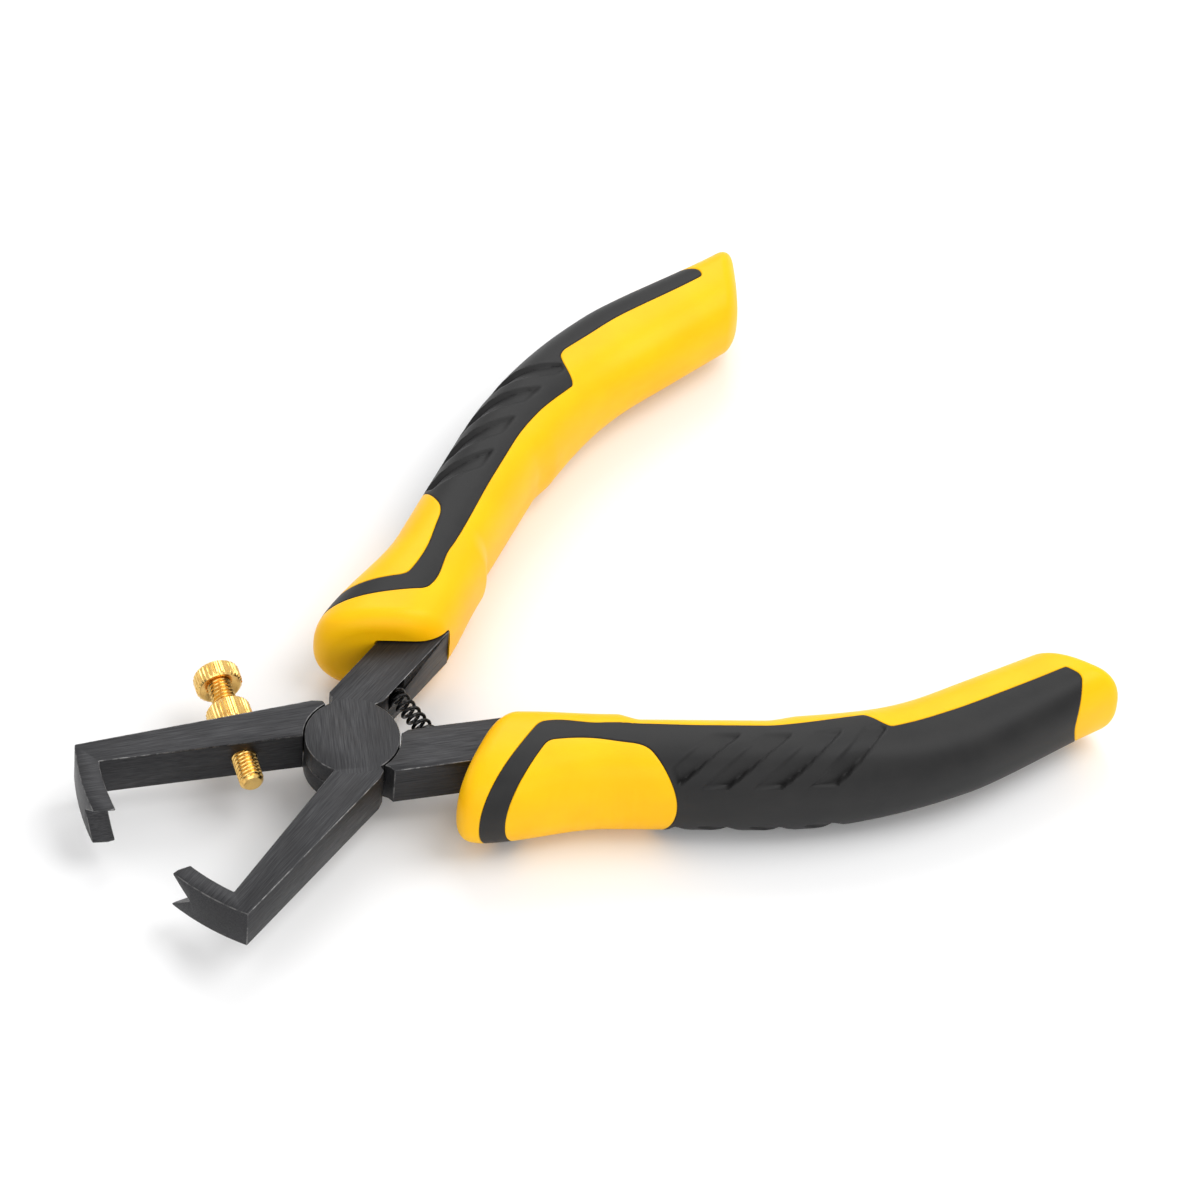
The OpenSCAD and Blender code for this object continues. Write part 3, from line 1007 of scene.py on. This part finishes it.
@dataclass(frozen=True)
class GripForm:
    """The grip's outer form. s runs along its centre line and q round its skin.

    q is 0 along the outer side and is measured over the top, and negative underneath.

    Attributes:
        start: Where the centre line starts, from the pivot in the plan.
        heading: Heading of the centre line at the front, in degrees.
        tail: Its heading at the tail.
        bend_start: Station where it starts to bend.
        bend_r: Radius of the bend.
        length: Length of the centre line.
        flare_w: Half width at the front.
        waist_w: Half width at the waist.
        half_t: Half height at the front.
        thinning: How much lower the tail is.
        taper: How much narrower the outer side is at the tail.
        guard: How far the finger guard stands out.
        ledge: Station of the inner side's first ledge.
        front_slant: Slant of the front end, in degrees.
        tail_slant: Slant of the tail end.
        slant_run: Length over which a slant dies out.
        power: Squareness of the section: 2 is an ellipse.
        front_round: Rounding of the front end.
        tail_round: Rounding of the tail end.
    """

    start: tuple[float, float] = (14.5, 13.8)
    heading: float = 32
    tail: float = 6
    bend_start: float = 44
    bend_r: float = 75
    length: float = 102
    flare_w: float = 8.9
    waist_w: float = 7.4
    half_t: float = 9.1
    thinning: float = 1.7
    taper: float = 3.0
    guard: float = 2.5
    ledge: float = 21.5
    front_slant: float = 25
    tail_slant: float = 34
    slant_run: float = 24
    power: float = 2.5
    front_round: float = 3.2
    tail_round: float = 3.0

    def direction(self, s: Array) -> Array:
        """Heading of the centre line, in radians."""
        bend_len = self.bend_r * math.radians(self.heading - self.tail)
        return math.radians(self.heading) - np.clip(s - self.bend_start, 0, bend_len) / self.bend_r

    def centre(self, s: Array) -> Array:
        """Points on the centre line in the plan."""
        first, last = math.radians(self.heading), math.radians(self.tail)
        along = np.array((math.cos(first), math.sin(first)))
        across = np.array((-along[1], along[0]))
        hub = np.array(self.start) + along * self.bend_start - across * self.bend_r
        straight = np.array(self.start) + along * np.minimum(s, self.bend_start)[:, None]
        turn = self.direction(s)
        out = np.stack([-np.sin(turn), np.cos(turn)], axis=1)
        beyond = np.maximum(0, s - self.bend_start - self.bend_r * (first - last))
        curved = hub + out * self.bend_r + np.array((math.cos(last), math.sin(last))) * beyond[:, None]
        return np.where((s <= self.bend_start)[:, None], straight, curved)

    def lean(self, s: Array) -> Array:
        """How far the sections lean over, so that the ends are cut on a slant."""
        front = self.front_slant * (1 - ramp(s, 0, self.slant_run))
        return np.radians(front - self.tail_slant * ramp(s, self.length - self.slant_run, self.length))

    def outer_w(self, s: Array) -> Array:
        """Half width on the outer side, with the finger guard at the front."""
        guard = self.guard * ramp(s, -3, 5) * (1 - ramp(s, 5, 20))
        return (self.flare_w - (self.flare_w - self.waist_w) * ramp(s, 0, 22) + 0.4 * ramp(s, 55, 72)
                - self.taper * ramp(s, 76, self.length) + guard)

    def inner_w(self, s: Array) -> Array:
        """Half width on the inner side, with its two ledges."""
        fall = self.flare_w - self.waist_w - 0.1
        return (self.flare_w - 0.5 * ramp(s, 6, 20) - fall * ramp(s, self.ledge, self.ledge + 4)
                + 0.9 * ramp(s, 45, 51) + 0.4 * ramp(s, 62, 80))

    def drawn_in(self, s: Array) -> Array:
        """How far the skin draws in where the ends are rounded over."""
        def inset(d: Array, r: float) -> Array:
            return np.where(d >= r, 0, r - np.sqrt(np.maximum(0, r * r - (r - np.minimum(d, r)) ** 2)))
        return inset(s, self.front_round) + inset(self.length - s, self.tail_round)

    def skin(self, s: Array, angle: Array, depth: Array | float = 0.0) -> Array:
        """Points on the skin.

        Args:
            s: Stations along the centre line.
            angle: Angle round the section, 0 on the outer side and positive over the top.
            depth: Distance below the skin.

        Returns:
            The points, in the pivot's axes.
        """
        lean = self.lean(s)
        turn = self.direction(s) + lean
        side = np.stack([-np.sin(turn), np.cos(turn)], axis=1)
        drawn = self.drawn_in(s) + depth
        width = np.where(np.cos(angle) > 0, self.outer_w(s), self.inner_w(s))
        reach = width / np.cos(lean) - drawn
        height = self.half_t - self.thinning * ramp(s, 52, 74) - drawn
        lateral, z = (size * np.sign(part) * np.abs(part) ** (2 / self.power)
                      for size, part in ((reach, np.cos(angle)), (height, np.sin(angle))))
        plan = self.centre(s) + lateral[:, None] * side
        return np.column_stack([plan, z])

    def girths(self) -> tuple[Array, Array, Array]:
        """Stations, angles, and the distance round the skin at each of them."""
        stations = np.linspace(0, self.length, 203)
        angles = np.linspace(0, np.pi, 361)
        around = np.zeros((len(stations), len(angles)))
        for i, s in enumerate(stations):
            p = self.skin(np.full(len(angles), s), angles)
            around[i, 1:] = np.cumsum(np.linalg.norm(np.diff(p, axis=0), axis=1))
        return stations, angles, around


@dataclass(frozen=True)
class ColourLines:
    """Where the rubber meets the plastic, on the unrolled skin (s, q).

    Attributes:
        front: Station where the rubber starts, at q = 0.
        rear: Station where the rubber ends on the faces.
        drop: How far its inner line drops towards the outer side beyond the notch.
        drop_span: Stations between which it drops.
        window: Stations where the window starts and ends, at q = 0.
        corner: Rounding of the rubber's corners.
        window_corner: Rounding of the window's corners.
    """

    front: float = 4.6
    rear: float = 97.2
    drop: float = 1.3
    drop_span: tuple[float, float] = (74, 94)
    window: tuple[float, float] = (7.7, 31.0)
    corner: float = 0.85
    window_corner: float = 1.0

    def edge(self, s: Array) -> Array:
        """Distance round the skin from the outer side to the rubber's inner line."""
        return (19.9 - 3.1 * ramp(s, 9, 19) - 0.4 * ramp(s, 22, 36) + 0.9 * ramp(s, 44, 60)
                - 3.9 * ramp(s, 61, 65.5) - self.drop * ramp(s, *self.drop_span))

    def window_edge(self, s: Array) -> Array:
        """Distance round the skin from the outer side to the window's long line."""
        return 15.3 - 3.1 * ramp(s, 7, 26)

    def inside(self, s: Array, q: Array) -> Array:
        """Distance inside the rubber, negative on the plastic."""
        def behind(station: float, bow: float) -> Array:
            """Distance behind a line across the grip that bows by a share of q squared."""
            return (s - (station + bow * q * q)) / np.sqrt(1 + (2 * bow * q) ** 2)

        way = np.abs(q)
        win_front, win_rear = self.window
        loop = soft_min(behind(self.front, 0.0095), self.edge(s) - way, self.corner)
        end = soft_min(-behind(self.rear - 4.3, 0.052), self.rear - s, self.corner)
        loop = soft_min(loop, end, self.corner * 0.6)
        window = soft_min(behind(win_front, 0.0137), self.window_edge(s) - way, self.window_corner)
        window = soft_min(window, -behind(win_rear, -0.036), self.window_corner * 1.6)
        return np.minimum(loop, -window)

    def snapped(self, s: Array, q: Array) -> tuple[Array, Array]:
        """Moves places near a colour line exactly onto it."""
        small = 1e-3
        for _ in range(6):
            here = self.inside(s, q)
            ds = (self.inside(s + small, q) - self.inside(s - small, q)) / (2 * small)
            dq = (self.inside(s, q + small) - self.inside(s, q - small)) / (2 * small)
            size = np.maximum(ds * ds + dq * dq, 0.05)
            s, q = s - here * ds / size, q - here * dq / size
        return s, q


@dataclass(frozen=True)
class FingerScoops:
    """Slanted scoops pressed into the rubber on both faces, and ribs on the window.

    Attributes:
        count: Number of scoops on each face.
        first: Station of the first one, at q = 0.
        pitch: Distance between them.
        width: Width of one, measured along the grip.
        slant: How far a scoop moves along the grip for each millimetre round it.
        low: Where they end near the outer side.
        high: Where they end over the top.
        depth: Their greatest depth.
        rib_pitch: Distance between the window's ribs.
        rib_depth: Depth between them.
    """

    count: int = 4
    first: float = 21.3
    pitch: float = 8.1
    width: float = 4.2
    slant: float = 1.08
    low: float = 4.8
    high: float = 14.3
    depth: float = 0.95
    rib_pitch: float = 2.0
    rib_depth: float = 0.07

    def hollow(self, s: Array, q: Array, inside: Array) -> Array:
        """Depth pressed into the skin at each place."""
        way = np.abs(q)
        ends = ramp(way, self.low - 0.3, self.low + 0.3)
        ends = ends * (1 - ramp(way, self.high - 0.7, self.high + 0.2))
        deep = self.depth * (1 - 0.45 * ramp(way, self.low, self.high))
        total = np.zeros_like(s)
        for k in range(self.count):
            t = s - (self.first + self.pitch * k + self.slant * way)
            fall = np.clip(t / self.width, 0, 1)
            lip = ramp(t, -0.2, 0.2) * 0.3 + fall * 0.7
            total = np.maximum(total, lip * (1 - ramp(t, self.width - 0.22, self.width + 0.22)))
        return total * deep * ends * ramp(inside, 0.5, 1.6)

    def ribs(self, s: Array, q: Array, inside: Array) -> Array:
        """Faint ribs across the window."""
        across = 0.5 - 0.5 * np.cos(2 * np.pi * s / self.rib_pitch)
        span = ramp(s, 11, 14) * (1 - ramp(s, 25, 28)) * (1 - ramp(np.abs(q), 4, 7))
        return self.rib_depth * across * span * ramp(-inside, 0.4, 1.4)


@dataclass
class Grip:
    """One handle: the hard core and the rubber moulded over it.

    Attributes:
        side: Which lever it is moulded on.
        body: The body that it rides on.
        form: Its outer form.
        lines: Its colour lines.
        scoops: Its scoops and ribs.
        cell: Length of a cell of the marked-out sheet.
        cells_round: Number of cells round it.
        rim: Size of the broken corner on both sides of a colour line.
        rubber_t: Thickness of the rubber.
        seam: Air gap below the rubber.
        shank_turn: Heading of the shank that enters it, in degrees.
        slot: Length, width and height of the slot that the shank enters.
    """

    side: Side
    body: str
    form: GripForm = GripForm()
    lines: ColourLines = ColourLines()
    scoops: FingerScoops = FingerScoops()
    cell: float = 0.28
    cells_round: int = 176
    rim: float = 0.13
    rubber_t: float = 1.7
    seam: float = 0.02
    shank_turn: float = 21.7
    slot: Place = (22.4, 8.5, 8.3)
    core: bpy.types.Object = field(init=False, default=None)
    rubber: bpy.types.Object = field(init=False, default=None)

    def stations(self) -> Array:
        """Stations of the sheet's rows, closer together where the ends round over."""
        form = self.form
        curve = 1 - np.cos(np.linspace(0, np.pi / 2, 12)[:-1])
        front = form.front_round * curve
        tail = form.length - form.tail_round * (1 - np.cos(np.linspace(np.pi / 2, 0, 16)[1:]))
        middle = np.arange(form.front_round, form.length - form.tail_round, self.cell)
        tail = np.concatenate([[form.length - form.tail_round], tail])
        return np.concatenate([front, middle, tail])

    def marked_sheet(self) -> bpy.types.Object:
        """Cuts the unrolled skin and brings its points onto the colour lines."""
        stations = self.stations()
        obj, rows, cols = Sheet("grip_skin", len(stations) - 1, self.cells_round).cut()
        s = stations[rows]
        grid, _, around = self.form.girths()
        half = np.interp(s, grid, around[:, -1])
        q = (2 * cols / self.cells_round - 1) * half
        Bench.place(obj, np.column_stack([s, q, np.zeros_like(s)]))
        middles = Bench.centres(obj)
        rubber = self.lines.inside(middles[:, 0], middles[:, 1]) > 0
        touches = np.zeros((len(s), 2), dtype=bool)
        corners = np.empty(len(obj.data.loops), dtype=np.int32)
        obj.data.loops.foreach_get("vertex_index", corners)
        kinds = np.repeat(rubber.astype(int), 4)
        touches[corners[kinds == 1], 1] = True
        touches[corners[kinds == 0], 0] = True
        line = touches.all(axis=1)
        s[line], q[line] = self.lines.snapped(s[line], q[line])
        Bench.place(obj, np.column_stack([s, q, np.zeros_like(s)]))
        return obj

    def on_rubber(self, obj: bpy.types.Object) -> Array:
        """The cells of a flat sheet that are rubber."""
        middles = Bench.centres(obj)
        inside = self.lines.inside(middles[:, 0], middles[:, 1])
        return (inside > 0) & (middles[:, 2] > -0.5 * self.rubber_t)

    def drop_line(self, obj: bpy.types.Object) -> None:
        """Lowers the points on the colour line, which breaks the corner there."""
        co = Bench.points(obj)
        on_line = (np.abs(self.lines.inside(co[:, 0], co[:, 1])) < NEAR) & (co[:, 2] > -NEAR)
        co[on_line, 2] = -self.rim
        Bench.place(obj, co)

    def lower(self, obj: bpy.types.Object, depth: float, cells: Array | None = None) -> None:
        """Draws cells of a flat piece straight down, with walls round them.

        Args:
            obj: The flat piece.
            depth: How far down the cells end up.
            cells: Which cells, or None for all.
        """
        Bench.open_for_work(obj, Pick.FACES, cells)
        bpy.ops.mesh.extrude_region_move(TRANSFORM_OT_translate={"value": (0, 0, -depth)})
        moved = Bench.chosen_points(obj)
        co = Bench.points(obj)
        co[moved, 2] = -depth
        Bench.place(obj, co)

    def roll(self, obj: bpy.types.Object) -> None:
        """Rolls a flat piece of the skin into its place round the grip."""
        co = Bench.points(obj)
        s, q, depth = co[:, 0], co[:, 1], -co[:, 2]
        grid, angles, around = self.form.girths()
        spot = np.clip(s / self.form.length * (len(grid) - 1), 0, len(grid) - 1.001)
        lower = spot.astype(int)
        part = spot - lower
        way = np.abs(q)
        angle = np.empty_like(s)
        for i in np.unique(lower):
            here = lower == i
            share = part[here]
            half = around[i, -1] * (1 - share) + around[i + 1, -1] * share
            first, second = (np.interp(way[here] / half, girth / girth[-1], angles)
                             for girth in (around[i], around[i + 1]))
            angle[here] = first * (1 - share) + second * share
        inside = self.lines.inside(s, q)
        outer = depth < 0.6 * self.rubber_t
        pressed = np.where(inside > 0, self.scoops.hollow(s, q, inside), self.scoops.ribs(s, q, inside))
        depth = depth + np.where(outer, pressed, 0)
        Bench.place(obj, self.form.skin(s, np.sign(q) * angle, depth))

    def make_rubber(self, skin: bpy.types.Object) -> None:
        """Gives the rubber's part of the skin its rounded rim and its thickness."""
        self.rubber = skin
        Bench.open_for_work(skin, Pick.FACES)
        bpy.ops.mesh.inset(thickness=self.rim, depth=0, use_boundary=True, use_even_offset=False)
        Bench.clear()
        self.drop_line(skin)
        self.lower(skin, self.rubber_t)

    def make_core(self, skin: bpy.types.Object) -> None:
        """Breaks the plastic's corner along the lines and sinks a bed for the rubber."""
        self.core = skin
        Bench.open_for_work(skin, Pick.FACES, ~self.on_rubber(skin))
        bpy.ops.mesh.inset(thickness=self.rim, depth=0, use_boundary=False, use_even_offset=False)
        Bench.clear()
        self.lower(skin, self.rubber_t + self.seam, self.on_rubber(skin))
        self.drop_line(skin)

    def cut_slot(self) -> None:
        """Cuts the mouth that the shank enters, with a small clearance all round."""
        turn = math.radians(self.shank_turn)
        along = Vector((math.cos(turn), math.sin(turn), 0))
        across = Vector((-along.y, along.x, 0))
        middle = Vector((1.5, 9.3, 0)) + along * 11.0 - across * 3.95
        Bench.clear()
        bpy.ops.mesh.primitive_cube_add(size=1, location=middle, rotation=(0, 0, turn), scale=self.slot)
        tool = Bench.started("slot_cutter")
        Bench.open_for_work(tool, Pick.EDGES)
        bpy.ops.mesh.bevel(offset=0.5, segments=3)
        Bench.clear()
        Bench.modify(self.core, "BOOLEAN", operation="DIFFERENCE", object=tool, solver="EXACT")
        Bench.remove(tool)

    def build(self, datum: Datum) -> None:
        """Marks out, separates, thickens, rolls and finishes both pieces."""
        name = self.side.name.lower()
        skin = self.marked_sheet()
        Bench.open_for_work(skin, Pick.FACES, self.on_rubber(skin))
        bpy.ops.mesh.duplicate()
        bpy.ops.mesh.separate(type="SELECTED")
        Bench.clear()
        cover = next(o for o in bpy.context.scene.objects
                     if o.name.startswith("grip_skin") and o != skin)
        cover.name = cover.data.name = f"{name}_grip_overmould"
        skin.name = skin.data.name = f"{name}_grip_body"
        self.make_rubber(cover)
        self.make_core(skin)
        for obj in (cover, skin):
            self.roll(obj)
        Sheet.close(self.core, 0.002)
        Bench.face_outwards(self.core)
        self.cut_slot()
        matrix = Matrix.Translation(datum.pivot())
        for obj, finish in ((self.core, YellowPlastic()), (self.rubber, CharcoalRubber())):
            datum.set_down(obj, matrix, mirrored=self.side is Side.LOWER)
            Bench.smooth(obj, 50)
            Bench.dress(obj, finish.material(f"{obj.name}_finish"))

    def mount(self) -> None:
        """Ties both pieces to the lever's body."""
        pieces = ((self.core, "core", "grip_plastic"), (self.rubber, "rubber", "grip_rubber"))
        for obj, kind, slot in pieces:
            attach(obj, self.body)
            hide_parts(f"grip_{kind}_{self.side.name.lower()}")


# ---------------------------------------------------------------- studio


@dataclass(frozen=True)
class SoftBox:
    """One large soft light.

    Attributes:
        name: The light's name.
        azimuth: Where it hangs round the aim, in degrees, measured as the camera's.
        elevation: Its height above the horizon, in degrees.
        distance: Its distance from the aim, in metres.
        size: Its diameter in metres.
        power: Its power in watts.
    """

    name: str
    azimuth: float
    elevation: float
    distance: float
    size: float
    power: float


@dataclass(frozen=True)
class Studio:
    """Pale floor, soft light and the camera.

    Attributes:
        aim: Point that the camera looks at, from the pivot, in millimetres.
        azimuth: Direction in which the camera looks, in degrees from +Y.
        elevation: Its height above the horizon, in degrees.
        roll: Its roll about its own axis, in degrees.
        distance: Its distance from the aim, in millimetres.
        lens: Its focal length on a 36 mm sensor.
        fill: Strength of the light from all round.
        floor_size: Side of the floor in metres.
        boxes: The soft lights.
    """

    aim: Place = (50.947, 5.744, 0)
    azimuth: float = -37.86
    elevation: float = 49.01
    roll: float = 4.97
    distance: float = 1401.0
    lens: float = 263.93
    fill: float = 0.8
    floor_size: float = 6
    boxes: tuple[SoftBox, ...] = (
        SoftBox("key_softbox", 60, 62, 0.75, 0.55, 2.5),
        SoftBox("fill_softbox", -30, 30, 0.9, 0.7, 1.7),
        SoftBox("rim_softbox", 150, 45, 0.8, 0.5, 2.0),
    )

    def towards(self, azimuth: float, elevation: float) -> Vector:
        """The direction from the aim to something at an azimuth and elevation."""
        a, e = math.radians(azimuth), math.radians(elevation)
        return Vector((math.sin(a) * math.cos(e), -math.cos(a) * math.cos(e), math.sin(e)))

    def set_camera(self, datum: Datum) -> None:
        """Places the camera."""
        data = bpy.data.cameras.new("camera")
        data.lens, data.sensor_width = self.lens, 36
        data.clip_start, data.clip_end = 0.05, 20
        camera = bpy.data.objects.new("camera", data)
        bpy.context.scene.collection.objects.link(camera)
        back = self.towards(self.azimuth, self.elevation)
        spot = (datum.pivot() + Vector(self.aim) + back * self.distance) * MM
        turn = back.to_track_quat("Z", "Y").to_matrix() @ Matrix.Rotation(math.radians(self.roll), 3, "Z")
        camera.matrix_world = Matrix.Translation(spot) @ turn.to_4x4()
        bpy.context.scene.camera = camera

    def set_lights(self, datum: Datum) -> None:
        """Hangs the soft boxes and fills in from all round."""
        aim = (datum.pivot() + Vector(self.aim)) * MM
        for box in self.boxes:
            data = bpy.data.lights.new(box.name, "AREA")
            data.shape, data.size, data.energy = "DISK", box.size, box.power
            lamp = bpy.data.objects.new(box.name, data)
            bpy.context.scene.collection.objects.link(lamp)
            back = self.towards(box.azimuth, box.elevation)
            turn = back.to_track_quat("Z", "Y").to_matrix().to_4x4()
            lamp.matrix_world = Matrix.Translation(aim + back * box.distance) @ turn
        world = bpy.data.worlds.new("studio_fill")
        bpy.context.scene.world = world
        world.use_nodes = True
        background = world.node_tree.nodes["Background"]
        background.inputs["Color"].default_value = (1, 1, 1, 1)
        background.inputs["Strength"].default_value = self.fill
        bpy.context.scene.view_settings.view_transform = "Standard"

    def lay_floor(self) -> None:
        """Lays the floor just under the tool."""
        low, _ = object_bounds()
        Bench.clear()
        bpy.ops.mesh.primitive_plane_add(size=self.floor_size, location=(0, 0, low.z - 0.0001))
        floor = Bench.started("studio_floor")
        floor.data.materials.append(StudioFloor().material("seamless_paper"))
        floor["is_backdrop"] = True

    def build(self, datum: Datum) -> None:
        """Sets up the camera, the lights and the floor."""
        self.set_camera(datum)
        self.set_lights(datum)
        self.lay_floor()


# ---------------------------------------------------------------- assembly


def report(*pieces: bpy.types.Object) -> None:
    """Logs each finished piece with its size."""
    for obj in pieces:
        size = np.ptp(Bench.points(obj), axis=0)
        LOG.info("%s: %d faces, %.1f x %.1f x %.1f mm", obj.name, len(obj.data.polygons), *(size / MM))


def main() -> None:
    """Builds and dresses every sub-assembly in order."""
    logging.basicConfig(level=logging.INFO, format="%(name)s: %(message)s")
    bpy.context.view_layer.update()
    datum = Datum()
    levers = (Lever(Side.UPPER, "lever_upper", "upper_lever", 203.0, 21.7),
              Lever(Side.LOWER, "lever_lower", "lower_lever", 160.0, -21.7))
    for lever in levers:
        lever.build(datum)
        lever.mount()
        report(lever.piece)
    Rivet().dress(datum)
    report(frame["nodes"]["pivot_rivet"])
    for part in (ReturnSpring(), StopScrew(), LockNut()):
        part.build(datum)
        part.mount()
        report(part.piece)
    grips = (Grip(Side.UPPER, "upper_lever", lines=ColourLines(rear=95, drop=2.7, drop_span=(61, 67))),
             Grip(Side.LOWER, "lower_lever"))
    for grip in grips:
        grip.build(datum)
        grip.mount()
        report(grip.core, grip.rubber)
    Studio().build(datum)


if __name__ == "__main__":
    main()
